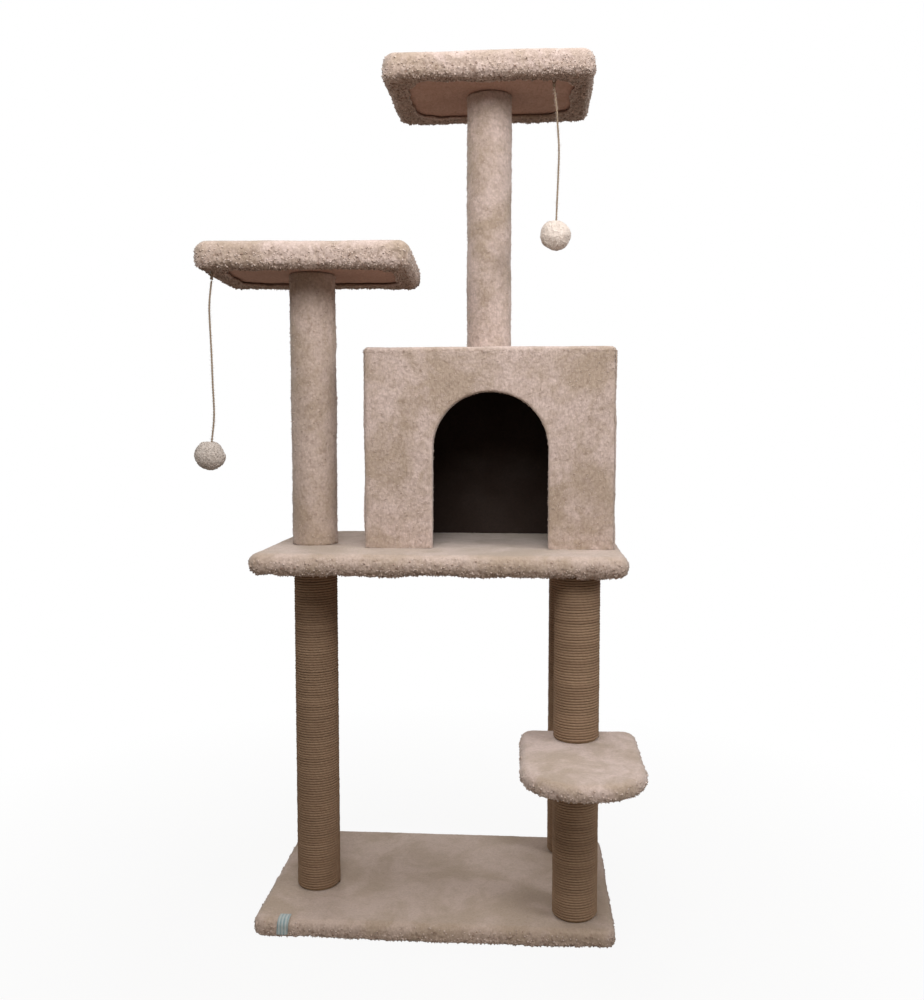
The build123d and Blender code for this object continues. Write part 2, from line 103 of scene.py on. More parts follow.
# control points of each toy's string, from its knot down to its ball, as offsets from the knot
LEFT_ROUTE = [
    (0.0, 0.0, -0.0035),
    (-0.0055, 0.0015, -0.035),
    (-0.005, 0.003, -0.072),
    (-0.0026, 0.0015, -0.120),
    (-0.001, -0.001, -0.166),
    (0.0006, 0.0, -0.208),
    (-0.0028, 0.0015, -0.237),
    (-0.0056, 0.001, -0.257),
]
RIGHT_ROUTE = [
    (0.0, 0.0, -0.0035),
    (0.0042, -0.001, -0.027),
    (0.0062, -0.0025, -0.065),
    (0.0088, -0.0015, -0.096),
    (0.0079, 0.0008, -0.134),
    (0.0062, 0.0005, -0.174),
    (0.0048, -0.0005, -0.213),
]

random = np.random.default_rng(7)


def added(name, data):
    """A new object in the scene."""
    thing = bpy.data.objects.new(name, data)
    bpy.context.scene.collection.objects.link(thing)
    return thing


# ------ camera
def make_camera():
    """The camera, placed and turned to see the tree's front, with no shift and no depth of field."""
    camera = added("camera", bpy.data.cameras.new("camera"))
    camera.location = CAMERA_PLACE
    camera.rotation_euler = (math.pi / 2 - CAMERA_DOWN, 0.0, CAMERA_LEFT)
    camera.data.lens = 33.84
    camera.data.sensor_width = 36.0
    bpy.context.scene.camera = camera


# ------ arrays of points
def corners_of(node):
    """A CAD node's lowest and highest corners."""
    low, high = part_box(node)
    return np.array(low), np.array(high)


def stacked(x, y, z):
    """Points from their coordinates, any of which may be one number for all."""
    return np.stack(np.broadcast_arrays(x, y, z), axis=-1)


def unit(v):
    return v / np.maximum(np.linalg.norm(v, axis=1, keepdims=True), 1e-12)


def steps(line):
    """The distances between a line's neighbouring points."""
    return np.linalg.norm(np.diff(line, axis=0), axis=1)


# ------ noise; salt picks one of its patterns
def hashed(cells, salt):
    """An even random number from 0 to 1 for each whole-numbered cell."""
    n = cells.astype(np.int64).astype(np.uint32)
    h = n[:, 0] * np.uint32(0x8DA6B343)
    h ^= n[:, 1] * np.uint32(0xD8163841)
    h ^= n[:, 2] * np.uint32(0xCB1AB31F)
    h ^= np.uint32((salt + 1) * 0x9E3779B1 & 0xFFFFFFFF)
    for shift, factor in ((15, 0x2C1B3C6D), (12, 0x297A2D39)):
        h ^= h >> np.uint32(shift)
        h *= np.uint32(factor)
    return (h ^ (h >> np.uint32(15))) / 2.0**32


def clouds(points, size, salt=0):
    """Smooth noise from 0 to 1 whose lumps are about size apart."""
    p = points / size
    cell = np.floor(p)
    t = p - cell
    t = t * t * (3 - 2 * t)
    total = np.zeros(len(p))
    for corner in np.ndindex(2, 2, 2):
        side = np.array(corner)
        total += np.where(side, t, 1 - t).prod(axis=1) * hashed(cell + side, salt)
    return total


def drift(points, size, salt):
    """Smooth noise from -0.5 to 0.5 in each direction."""
    return np.stack([clouds(points, size, salt + k) for k in range(3)], axis=1) - 0.5


def curl_height(points, size, salt):
    """The height, from 0 to 1, of rounded curls about size apart."""
    p = points / size
    cell = np.floor(p)
    nearest = np.full(len(p), np.inf)
    for corner in np.ndindex(3, 3, 3):
        at = cell + np.array(corner) - 1
        centre = at + np.stack([hashed(at, salt + k) for k in (1, 2, 3)], axis=1)
        nearest = np.minimum(nearest, ((p - centre) ** 2).sum(axis=1))
    return 1 - np.clip(nearest / 0.7, 0, 1)


# ------ meshes from arrays
def mesh_object(name, points, faces, extra=(), materials=()):
    """A smooth mesh of equal faces, with any extra polygons given as lists of their corners."""
    mesh = bpy.data.meshes.new(name)
    corners = np.concatenate([faces.ravel(), *[np.array(e) for e in extra]]).astype(np.int32)
    sides = np.concatenate([np.full(len(faces), faces.shape[1]), [len(e) for e in extra]])
    starts = np.concatenate([[0], np.cumsum(sides)[:-1]])
    mesh.vertices.add(len(points))
    mesh.vertices.foreach_set("co", points.astype(np.float32).ravel())
    mesh.loops.add(len(corners))
    mesh.loops.foreach_set("vertex_index", corners)
    mesh.polygons.add(len(sides))
    mesh.polygons.foreach_set("loop_start", starts.astype(np.int32))
    mesh.update(calc_edges=True)
    mesh.shade_smooth()
    for material in materials:
        mesh.materials.append(material)
    return added(name, mesh)


def settle(piece, body, slot, *nodes):
    """Has a piece ride on a body and stand for CAD nodes; slot is not used."""
    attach(piece, body)
    if nodes:
        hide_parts(*nodes)


def set_attribute(thing, name, values):
    """Gives each point a number for the material; one number does for all."""
    attribute = thing.data.attributes.new(name, "FLOAT", "POINT")
    every = np.broadcast_to(values, len(thing.data.vertices))
    attribute.data.foreach_set("value", every.astype(np.float32))


def vertex_normals(points, quads):
    """The way out at each point, and zero at one that no quad has."""
    a, b, c, d = (points[quads[:, i]] for i in range(4))
    face = np.cross(c - a, d - b)
    total = np.zeros_like(points)
    for i in range(4):
        for axis in range(3):
            total[:, axis] += np.bincount(quads[:, i], face[:, axis], len(points))
    return unit(total)


def merged(points, quads, curly):
    """The same mesh with points that lie together made one, as a shell without extra polygons."""
    _, first, where = np.unique(np.round(points, 6), axis=0, return_index=True, return_inverse=True)
    return points[first], where.ravel()[quads], [], curly[first]


def grid_quads(indices):
    """Quads between neighbours of a table of point numbers."""
    a, b = indices[:-1, :-1], indices[1:, :-1]
    c, d = indices[1:, 1:], indices[:-1, 1:]
    return np.stack([a, b, c, d], axis=-1).reshape(-1, 4)


def loop_quads(loops):
    """Quads between closed loops of point numbers, each below or inside the one before."""
    return grid_quads(np.concatenate([loops, loops[:, :1]], axis=1))


# ------ rounded slabs
def plan_map(x, y, rect, radii):
    """Plan points of a square-cornered rectangle, moved onto one with round front and back corners.

    Also gives the way out towards the outline, and how far inside it each point is.
    """
    x0, y0, x1, y1 = rect
    radius = np.where(y < (y0 + y1) / 2, radii[0], radii[1])
    qx = np.clip(x, x0 + radius, x1 - radius)
    qy = np.clip(y, y0 + radius, y1 - radius)
    dx, dy = x - qx, y - qy
    length = np.maximum(np.hypot(dx, dy), 1e-12)
    most = np.maximum(abs(dx), abs(dy))
    nx, ny = dx / length, dy / length
    return qx + nx * most, qy + ny * most, nx, ny, radius - most


def edge_round(inset, z, face, radius, sign):
    """Rounds the edge between a slab's side and its top (sign 1) or bottom (sign -1)."""
    u = np.clip(radius - inset, 0, radius)
    v = np.clip(sign * (z - face) + radius, 0, radius)
    scale = np.maximum(u, v) / np.maximum(np.hypot(u, v), 1e-12)
    both = (u > 0) & (v > 0)
    new_inset = np.where(both, radius - u * scale, inset)
    new_z = np.where(both, face - sign * (radius - v * scale), z)
    return new_inset, new_z


def slab_points(x, y, z, rect, box, radii, rounds):
    """Points of a square-edged slab moved onto the rounded one."""
    px, py, nx, ny, inset = plan_map(x, y, rect, radii)
    new_inset, new_z = edge_round(inset, z, box[1], rounds[1], 1)
    new_inset, new_z = edge_round(new_inset, new_z, box[0], rounds[0], -1)
    shift = new_inset - inset
    return stacked(px - nx * shift, py - ny * shift, new_z)


def border(nx, ny):
    """Grid places along a grid's border, anticlockwise from the front left."""
    bottom = [(i, 0) for i in range(nx)]
    right = [(nx, j) for j in range(ny)]
    top = [(nx - i, ny) for i in range(nx)]
    left = [(0, ny - j) for j in range(ny)]
    return np.array(bottom + right + top + left)


class Slab:
    """A closed plush cover being made, from a grid of its plan: its top and sides, then its underside."""

    def __init__(self, rect, low, high, radii, rounds, cell):
        self.rect, self.low, self.high = rect, low, high
        self.radii, self.rounds, self.cell = radii, rounds, cell
        x0, y0, x1, y1 = rect
        nx, ny = round((x1 - x0) / cell), round((y1 - y0) / cell)
        grid = np.meshgrid(np.linspace(x0, x1, nx + 1), np.linspace(y0, y1, ny + 1), indexing="ij")
        rim = tuple(border(nx, ny).T)
        self.x, self.y = grid[0][rim], grid[1][rim]
        self.parts, self.curly, self.loops = [], [], []
        top = self.add(self.shape(*grid, high), 0.0).reshape(nx + 1, ny + 1)
        self.quads = [grid_quads(top)]
        self.loops.append(top[rim])
        rows = max(4, round((high - low) / cell))
        for k in range(1, rows):
            t = k / rows
            self.ring(self.shape(self.x, self.y, high + (low - high) * k / rows), 0.22 + 0.78 * t**1.1)
        self.grid, self.rim = grid, rim

    def add(self, points, how_curly):
        """Adds points, and gives their numbers."""
        start = sum(len(p) for p in self.parts)
        self.parts.append(points.reshape(-1, 3))
        count = len(self.parts[-1])
        self.curly.append(np.full(count, float(how_curly)))
        return start + np.arange(count)

    def ring(self, points, how_curly):
        self.loops.append(self.add(points, how_curly))

    def shape(self, x, y, z):
        z = np.broadcast_to(z, x.shape)
        return slab_points(x, y, z, self.rect, (self.low, self.high), self.radii, self.rounds)

    def shrunk(self, margin):
        """The border's points, and the rectangle, moved in by a margin."""
        x0, y0, x1, y1 = self.rect
        x = x0 + margin + (self.x - x0) * (x1 - x0 - 2 * margin) / (x1 - x0)
        y = y0 + margin + (self.y - y0) * (y1 - y0 - 2 * margin) / (y1 - y0)
        return x, y, (x0 + margin, y0 + margin, x1 - margin, y1 - margin)

    def whole(self):
        """Closes it with a whole underside, and gives it an inside of its own."""
        under = self.add(self.shape(*self.grid, self.low), 0.6).reshape(self.grid[0].shape)
        self.loops.append(under[self.rim])
        self.quads += [loop_quads(np.array(self.loops)), grid_quads(under)[:, ::-1]]
        x, y, _, _, _ = plan_map(*self.shrunk(PILE), [r - PILE for r in self.radii])
        hollow = [self.add(stacked(x, y, z), 0.0) for z in (self.low + PILE, self.high - PILE)]
        self.quads.append(loop_quads(np.array(hollow)))
        return self.mesh([hollow[0], hollow[1][::-1]])

    def turned_under(self, flange, hole_corner, ragged, thick):
        """Closes it with a flange whose ragged edge goes round a hole, and with the board's bed inside."""
        outer = self.shape(self.x, self.y, self.low)
        self.ring(outer, 1.0)
        x, y, out_x, out_y, _ = plan_map(*self.shrunk(flange), (hole_corner, hole_corner))
        plan = stacked(x, y, 0.0)
        wobble = (clouds(plan, 0.017) - 0.5) * 4 * ragged
        wobble += (clouds(plan, 0.007) - 0.5) * ragged
        inward = stacked(-out_x, -out_y, 0.0)
        rim = stacked(x, y, self.low) + inward * wobble[:, None]
        _, _, out_x, out_y, _ = plan_map(self.x, self.y, self.rect, self.radii)
        turned = outer - stacked(out_x, out_y, 0.0) * self.rounds[0] * (1 - 0.5**0.5)
        turned[:, 2] = self.low
        rows = max(3, round(flange / self.cell))
        for k in range(1, rows + 1):
            t = k / rows
            self.ring(turned * (1 - t) + rim * t, 1.0 + min(1.0, 4 * t))
        for degrees in (40, 80, 120):
            angle = math.radians(degrees)
            up = stacked(0.0, 0.0, HEM * (1 - math.cos(angle)))
            self.ring(rim + inward * HEM * math.sin(angle) + up, 0.5)
        backing = PILE - SKIN
        self.ring(rim + stacked(0.0, 0.0, backing), 0.0)
        x0, y0, x1, y1 = self.rect
        x = np.clip(self.x, x0 + thick - SKIN, x1 - thick + SKIN)
        y = np.clip(self.y, y0 + thick - SKIN, y1 - thick + SKIN)
        for z in (self.low + backing, self.high - thick + SKIN):
            self.ring(stacked(x, y, z), 0.0)
        self.quads.append(loop_quads(np.array(self.loops)))
        return self.mesh([self.loops[-1][::-1]])

    def mesh(self, ends):
        """Its points, quads and extra polygons, and how curly each point is; above 1 it is turned under."""
        return np.concatenate(self.parts), np.concatenate(self.quads), ends, np.concatenate(self.curly)


# ------ pile
def raise_pile(points, quads, curly, calm, lively, floor):
    """Raises curls on a plush surface, over slow waves of its pad and backing.

    Calm and lively are the curls' heights where it is smooth and where it is curly.
    """
    normals = vertex_normals(points, quads)
    height = curl_height(points + 0.8 * CURL * drift(points, 1.3 * CURL, 11), CURL, 20)
    height = 0.75 * height + 0.25 * clouds(points, 0.0028, 31)
    amount = calm + (lively - calm) * np.clip(curly, 0, 1)
    soft = (clouds(points, 0.045, 41) - 0.5) * (0.0014 + 0.0012 * curly)
    soft += (clouds(points, 0.014, 42) - 0.5) * (0.0004 + 0.0014 * curly)
    skin = np.linalg.norm(normals, axis=1) * (curly != INSIDE)
    moved = points + normals * ((height - 0.6) * amount + soft)[:, None] * skin[:, None]
    if floor is not None:
        moved[:, 2] = np.maximum(moved[:, 2], floor)
    return moved, normals, height


def scatter(points, quads, weight, per_area):
    """Random places on a surface, and the face that each is on."""
    a, b, c, d = (points[quads[:, i]] for i in range(4))
    area = np.linalg.norm(np.cross(c - a, d - b), axis=1) / 2 * weight[quads].mean(axis=1)
    count = int(area.sum() * per_area)
    chosen = random.choice(len(quads), count, p=area / area.sum())
    u, v = random.random((2, count, 1))
    ground = (a[chosen] * (1 - u) + b[chosen] * u) * (1 - v) + (d[chosen] * (1 - u) + c[chosen] * u) * v
    return ground, chosen


def curl_tufts(name, ground, out, size, droop, shades, dim=0):
    """Small bent tufts of pile, each a three-sided tapering curl, that hang down by droop.

    Where dim is 1 they are of the list's last three shades, elsewhere of its first three.
    """
    length, width = size
    droop = np.array([0.0, 0.0, -droop])
    n = len(ground)
    side = unit(np.cross(out, random.normal(size=(n, 3))))
    other = np.cross(out, side)
    lean = unit(out + 0.9 * side * random.random((n, 1)) + droop)
    tip_way = unit(out * 0.25 + side * 0.9 + 0.6 * (random.random((n, 1)) - 0.5) * other + 1.2 * droop)
    reach = length * (0.6 + 0.8 * random.random((n, 1)))
    wide = width * (0.7 + 0.6 * random.random((n, 1)))
    middle = ground + lean * reach * 0.55
    tip = middle + tip_way * reach * 0.55
    rings = []
    for place, radius in ((ground - out * 0.0006, wide), (middle, 0.85 * wide)):
        for k in range(3):
            angle = TURN * k / 3
            rings.append(place + radius * (math.cos(angle) * side + math.sin(angle) * other))
    corners = np.stack([*rings, tip], axis=1)
    pattern = [(0, 1, 4), (0, 4, 3), (1, 2, 5), (1, 5, 4), (2, 0, 3), (2, 3, 5)]
    pattern += [(3, 4, 6), (4, 5, 6), (5, 3, 6)]
    faces = (np.arange(n)[:, None, None] * 7 + np.array(pattern)[None]).reshape(-1, 3)
    tufts = mesh_object(name, corners.reshape(-1, 3), faces, materials=shades)
    pick = random.integers(0, min(3, len(shades)), n) + (len(shades) - 3) * dim
    tufts.data.polygons.foreach_set("material_index", np.repeat(pick, len(pattern)).astype(np.int32))
    return tufts


def plush_piece(node, shell, calm, lively, flat, on, area=None, tuft=EDGE_TUFT,
                place=None, floor=None, worn=0.0):
    """A plush cover with its raised pile, and the loose curls that stand out of it.

    Flat and area are what it was cut to, and on is what it is stretched over; none of these three is used.
    Place turns the finished shape, floor is the lowest that it may reach, and the last argument is the share
    of it darkened as painted shade.
    """
    points, quads, ends, curly = shell
    moved, normals, height = raise_pile(points, quads, curly, calm, lively, floor)
    if place is not None:
        moved, normals = place(moved), place(normals, True)
    cover = mesh_object(f"{node}_plush", moved, quads, ends, [PLUSH])
    set_attribute(cover, "pile", height)
    set_attribute(cover, "curly", np.clip(curly, 0, 1))
    set_attribute(cover, "under", np.clip(curly - 1, 0, 1))
    # painted shade: the share of this cover darkened towards its blotch colour
    set_attribute(cover, "worn", worn)
    ground, chosen = scatter(moved, quads, np.clip(curly, 0.0, 1.0) ** 1.5, TUFTS)
    keep = reachable(shell, chosen)
    around = quads[chosen[keep]]
    out = unit(normals[around].mean(axis=1))
    how_curly = curly[around].mean(axis=1)
    in_pit = height[around].mean(axis=1) < PIT
    # darker shades of loose curls are painted shade, in pits, on the flange and by the cover's share of
    # painted shade
    dim = (in_pit & (how_curly > DIM_PITS)) | (how_curly > DIM_ALL) | (random.random(len(around)) < worn)
    curls = curl_tufts(f"{node}_curls", ground[keep], out, tuft, 0.25, SHADES, dim.astype(int))
    if floor is not None:
        clear_floor(curls, floor)
    settle(cover, "tree", "plush", node)
    settle(curls, "tree", "plush")


def reachable(shell, chosen):
    """Whether each face is on the outside of a cover.

    A slab's inside is its last loops of points: two where it has two ends, and three where it has one.
    """
    points, quads, ends, _ = shell
    if not ends:
        return np.ones(len(chosen), bool)
    inside = len(points) - (4 - len(ends)) * len(ends[0])
    return quads[chosen].max(axis=1) < inside


def clear_floor(thing, floor):
    """Keeps loose curls off the floor."""
    co = np.zeros(len(thing.data.vertices) * 3, np.float32)
    thing.data.vertices.foreach_get("co", co)
    co[2::3] = np.maximum(co[2::3], floor)
    thing.data.vertices.foreach_set("co", co)


# ------ materials
class Shader:
    """The nodes of a material, or of the world, which are added and linked by short calls."""

    def __init__(self, name, world=False):
        self.owner = (bpy.data.worlds if world else bpy.data.materials).new(name)
        self.owner.use_nodes = True
        self.tree = self.owner.node_tree
        self.surface = self.tree.nodes["Background" if world else "Principled BSDF"]

    def put(self, node, values):
        """Links or sets a node's inputs; a colour is given as red, green and blue."""
        for name, value in values.items():
            socket = node.inputs[name]
            if isinstance(value, bpy.types.NodeSocket):
                self.tree.links.new(value, socket)
            elif socket.type == "RGBA":
                socket.default_value = (*value, 1.0)
            else:
                socket.default_value = value

    def add(self, kind, values, **settings):
        node = self.tree.nodes.new(f"ShaderNode{kind}")
        for setting, value in settings.items():
            setattr(node, setting, value)
        self.put(node, values)
        return node

    def place(self, stretch=(1, 1, 1)):
        """Places on the object, scaled by stretch; a texture is drawn out where that is small."""
        coordinates = self.add("TexCoord", {})
        return self.add("Mapping", {0: coordinates.outputs["Object"], 3: stretch}).outputs[0]

    def noise(self, scale, at, detail=2.0, rough=0.5, twist=0.0):
        values = {"Vector": at, "Scale": scale, "Detail": detail, "Roughness": rough, "Distortion": twist}
        return self.add("TexNoise", values).outputs[0]

    def wave(self, at, scale, twist, detail, **settings):
        values = {"Vector": at, "Scale": scale, "Distortion": twist, "Detail": detail}
        return self.add("TexWave", values, **settings).outputs["Fac"]

    def cells(self, scale, at):
        return self.add("TexVoronoi", {"Vector": at, "Scale": scale}).outputs["Distance"]

    def spread(self, value, low, high, to_low=0.0, to_high=1.0):
        """Maps low to high onto to_low to to_high, and clamps it."""
        values = {0: value, 1: low, 2: high, 3: to_low, 4: to_high}
        return self.add("MapRange", values).outputs[0]

    def mix(self, factor, a, b):
        return self.add("Mix", {0: factor, 6: a, 7: b}, data_type="RGBA").outputs[2]

    def math(self, operation, a, b=0.0):
        return self.add("Math", {0: a, 1: b}, operation=operation).outputs[0]

    def times(self, a, b):
        return self.math("MULTIPLY", a, b)

    def attribute(self, name):
        return self.add("Attribute", {}, attribute_name=name).outputs["Fac"]

    def bump(self, height, distance, strength=1.0, under=None):
        values = {"Height": height, "Distance": distance, "Strength": strength}
        if under is not None:
            values["Normal"] = under
        return self.add("Bump", values).outputs[0]

    def camera_ray(self):
        return self.add("LightPath", {}).outputs["Is Camera Ray"]

    def finish(self, colour, **values):
        """Sets the surface's colour and its other inputs, named with _ for a space; gives the material."""
        self.put(self.surface, {0: colour})
        self.put(self.surface, {name.replace("_", " "): value for name, value in values.items()})
        return self.owner


SOFT = {"Roughness": 0.95, "Specular_IOR_Level": 0.12, "Sheen_Weight": 0.35, "Sheen_Roughness": 0.5}


def plush_material(name, light, dark, blotch_and_shade, turned):
    """Curly plush: painted shade between curls, blotches where the pile lies flat, painted shade where turned
    under.
    """
    s = Shader(name)
    at = s.place()
    curly = s.spread(s.attribute("curly"), 0.0, 1.0, 0.10, 1.0)
    blotch = s.spread(s.noise(10.0, at, 5.0, 0.6, 0.5), 0.46, 0.60)
    patch = s.spread(s.noise(34.0, at, 3.0, 0.6, 1.2), 0.44, 0.66)
    nap = s.spread(s.noise(300.0, s.place((1.0, 1.0, 0.5)), 3.0, 0.65, 0.5), 0.36, 0.62)
    pits = s.spread(s.cells(235.0, at), 0.25, 0.70)
    # painted shade between the curls: low pile and the borders of cells take the dark colour, more where the
    # pile is curly
    depth = s.spread(s.attribute("pile"), 0.10, 0.60, 0.30, 1.0)
    depth = s.times(depth, s.spread(pits, 0.0, 1.0, 1.0, 0.62))
    depth = s.math("SUBTRACT", 1.0, s.times(curly, s.math("SUBTRACT", 1.0, depth)))
    depth = s.times(depth, s.spread(nap, 0.0, 1.0, 0.80, 1.0))
    base = s.mix(s.times(blotch, 0.80), light, blotch_and_shade)
    base = s.mix(s.times(patch, 0.45), base, blotch_and_shade)
    # painted shade over the whole cover, by its share
    base = s.mix(s.attribute("worn"), base, blotch_and_shade)
    mottle = s.spread(s.noise(120.0, at, 3.0, 0.6, 0.8), 0.35, 0.65, 0.62, 1.0)
    # painted shade on the turned-under flange, mottled
    base = s.mix(s.times(s.attribute("under"), mottle), base, turned)
    base = s.mix(depth, dark, base)
    fibres = s.noise(900.0, at, 3.0, 0.6, 0.4)
    normal = s.bump(nap, 0.0010, 0.45)
    normal = s.bump(fibres, 0.0006, 0.6, normal)
    return s.finish(base, Normal=normal, **SOFT)


def plain_shades(names, shades):
    """Even shades of loose pile; neighbouring curls differ by their shade."""
    return [Shader(name).finish(shade, **SOFT) for name, shade in zip(names, shades)]


def twine_material():
    """Natural-fibre twine: twisted plies, painted shade between them and on the turns' sides that face the
    post and each other, pale stray fibres.
    """
    s = Shader("wound_twine")
    ply = s.math("SINE", s.times(s.attribute("ply"), TURN))
    ply = s.spread(ply, -1.0, 1.0)
    streak = s.spread(s.noise(420.0, s.place((0.35, 0.35, 1.6)), 4.0, 0.7, 0.5), 0.33, 0.68)
    tone = s.spread(s.attribute("tone"), 0.15, 0.85)
    band = s.spread(s.noise(16.0, s.place((0.2, 0.2, 1.0)), 3.0, 0.6), 0.35, 0.65)
    base = s.mix(tone, (0.24, 0.148, 0.090), (0.38, 0.250, 0.160))
    base = s.mix(s.times(band, 0.35), base, (0.20, 0.125, 0.078))
    base = s.mix(s.times(streak, 0.40), base, (0.47, 0.335, 0.225))
    # painted shade between the plies
    base = s.mix(s.spread(ply, 0.0, 0.45, 0.14, 0.0), base, (0.10, 0.060, 0.036))
    # painted shade on the sides of each turn that face the post and the next turns
    base = s.mix(s.spread(s.attribute("outer"), 0.0, 0.75, 0.75, 0.0), base, (0.075, 0.045, 0.027))
    normal = s.bump(ply, 0.0003, 0.4)
    normal = s.bump(streak, 0.0003, 0.7, normal)
    rough = s.spread(streak, 0.0, 1.0, 0.72, 0.92)
    return s.finish(base, Normal=normal, Roughness=rough, Specular_IOR_Level=0.25)


def string_material():
    """Pale two-ply twine."""
    s = Shader("toy_twine")
    at = s.place()
    fibre = s.spread(s.noise(700.0, at, 4.0, 0.7, 0.5), 0.34, 0.66)
    tone = s.spread(s.noise(60.0, at, 2.0, 0.5), 0.35, 0.65)
    base = s.mix(fibre, (0.22, 0.155, 0.105), (0.50, 0.40, 0.30))
    base = s.mix(s.times(tone, 0.4), base, (0.34, 0.25, 0.18))
    normal = s.bump(fibre, 0.0003, 0.8)
    return s.finish(base, Normal=normal, Roughness=0.85, Specular_IOR_Level=0.2)


def board_material(name, pale, dark):
    """Raw pressed fibre board, with fine flecks of chip and soft dark clouds."""
    s = Shader(name)
    at = s.place()
    flecks = s.spread(s.noise(260.0, s.place((1.0, 0.45, 1.0)), 4.0, 0.65, 0.6), 0.36, 0.66)
    cloud = s.spread(s.noise(14.0, at, 3.0, 0.55, 0.4), 0.35, 0.68)
    chips = s.spread(s.cells(170.0, at), 0.0, 0.5)
    base = s.mix(flecks, pale, dark)
    base = s.mix(s.times(cloud, 0.45), base, dark)
    base = s.mix(s.times(chips, 0.25), base, pale)
    normal = s.bump(flecks, 0.0003, 0.5)
    rough = s.spread(cloud, 0.0, 1.0, 0.62, 0.82)
    return s.finish(base, Normal=normal, Roughness=rough, Specular_IOR_Level=0.3)


def cardboard_material():
    """Spiral-wound paper tube, with the faint edge of its winding."""
    s = Shader("paper_tube")
    spiral = s.wave(s.place((1, 1, 1.6)), 6.0, 1.5, 2.0, bands_direction="Z")
    fibre = s.noise(300.0, s.place(), 4.0, 0.6, 0.3)
    base = s.mix(s.spread(fibre, 0.35, 0.65), (0.36, 0.25, 0.15), (0.46, 0.33, 0.21))
    base = s.mix(s.spread(spiral, 0.0, 0.12, 0.5, 0.0), base, (0.20, 0.13, 0.08))
    return s.finish(base, Normal=s.bump(fibre, 0.0002, 0.5), Roughness=0.88)


def softwood_material():
    """Turned softwood with growth rings."""
    s = Shader("softwood")
    rings = s.wave(s.place((1, 1, 0.15)), 90.0, 3.0, 3.0, wave_type="RINGS", rings_direction="Z")
    grain = s.noise(500.0, s.place((1, 1, 0.1)), 3.0, 0.6)
    base = s.mix(s.spread(rings, 0.2, 0.9), (0.58, 0.39, 0.20), (0.42, 0.25, 0.12))
    base = s.mix(s.spread(grain, 0.4, 0.7, 0.0, 0.4), base, (0.33, 0.20, 0.10))
    return s.finish(base, Normal=s.bump(grain, 0.0002, 0.5), Roughness=0.7)


def foam_material():
    """Open-cell foam, with painted shade in its pores."""
    s = Shader("foam")
    at = s.place()
    pores = s.cells(600.0, at)
    tint = s.noise(30.0, at, 3.0, 0.5)
    base = s.mix(s.spread(tint, 0.35, 0.65), (0.80, 0.74, 0.60), (0.72, 0.64, 0.48))
    # painted shade in the pores: darkest at the middle of each cell
    base = s.mix(s.spread(pores, 0.0, 0.3, 0.5, 0.0), base, (0.45, 0.38, 0.27))
    return s.finish(base, Normal=s.bump(pores, 0.0006, 0.7), Roughness=0.95)


def steel_material():
    """Zinc-plated steel with a faint bluish-yellow bloom and fine scratches."""
    s = Shader("zinc_steel")
    bloom = s.spread(s.noise(120.0, s.place(), 3.0, 0.5), 0.35, 0.65)
    scratch = s.noise(900.0, s.place((1, 1, 0.08)), 3.0, 0.7)
    base = s.mix(bloom, (0.56, 0.57, 0.60), (0.66, 0.64, 0.56))
    rough = s.spread(scratch, 0.3, 0.7, 0.26, 0.46)
    return s.finish(base, Roughness=rough, Metallic=1.0, Normal=s.bump(scratch, 0.0001, 0.3))


def stuffing_material():
    """Polyester stuffing."""
    s = Shader("stuffing")
    wisp = s.noise(380.0, s.place((1.0, 0.4, 0.6)), 4.0, 0.7, 2.0)
    base = s.mix(s.spread(wisp, 0.35, 0.65), (0.62, 0.59, 0.54), (0.84, 0.82, 0.78))
    tint = s.spread(s.noise(70.0, s.place()), 0.4, 0.6, 0.0, 0.3)
    base = s.mix(tint, base, (0.70, 0.65, 0.56))
    return s.finish(base, Normal=s.bump(wisp, 0.0009, 0.8), **SOFT)


def ribbon_material():
    """Plain woven ribbon, pale blue, with faint upright stripes."""
    s = Shader("ribbon")
    at = s.place()
    stripe = s.wave(at, 60.0, 0.4, 1.0, bands_direction="X")
    weave = s.wave(at, 420.0, 0.6, 1.0, bands_direction="Z")
    wear = s.spread(s.noise(140.0, at, 3.0, 0.6), 0.4, 0.7, 0.0, 0.5)
    base = s.mix(stripe, (0.22, 0.33, 0.36), (0.48, 0.53, 0.53))
    base = s.mix(wear, base, (0.46, 0.48, 0.44))
    normal = s.bump(weave, 0.0002, 0.6)
    return s.finish(base, Normal=normal, Roughness=0.55, Sheen_Weight=0.2)


def toy_pile(side, painted_light_and_shade_scale):
    """A ball's plush, and its loose curls' shades, all scaled by one factor: below 1 it paints shade on the
    ball, above 1 light.
    """
    pale, beige, fawn = shades = [tuple(painted_light_and_shade_scale * v for v in shade) for shade in TOY_SHADES]
    plush = plush_material(f"{side}_toy_plush", pale, fawn, beige, fawn)
    return plush, plain_shades([f"{side}_toy_pile_{k}" for k in range(3)], shades)


LIGHT_PILE = (0.72, 0.58, 0.525)
# blotch colour of the pile, which also serves as the colour of painted shade
BLOTCH_AND_SHADE_PILE = (0.47, 0.365, 0.275)
# painted shade between the curls
PAINTED_PIT_SHADE = (0.19, 0.12, 0.085)
# painted shade on the turned-under flange
PAINTED_UNDERSIDE_SHADE = (0.52, 0.37, 0.30)
PLUSH = plush_material("curly_plush", LIGHT_PILE, PAINTED_PIT_SHADE, BLOTCH_AND_SHADE_PILE, PAINTED_UNDERSIDE_SHADE)
# the darker of these shades also serve as painted shade on loose curls
SHADES = plain_shades(
    ["pile_pale", "pile_beige", "pile_fawn", "pile_dun", "pile_brown"],
    [(0.65, 0.535, 0.475), (0.59, 0.475, 0.41), (0.51, 0.395, 0.325), (0.42, 0.30, 0.24), (0.31, 0.21, 0.16)],
)
TOY_SHADES = [(0.85, 0.76, 0.69), (0.81, 0.715, 0.645), (0.77, 0.67, 0.595)]
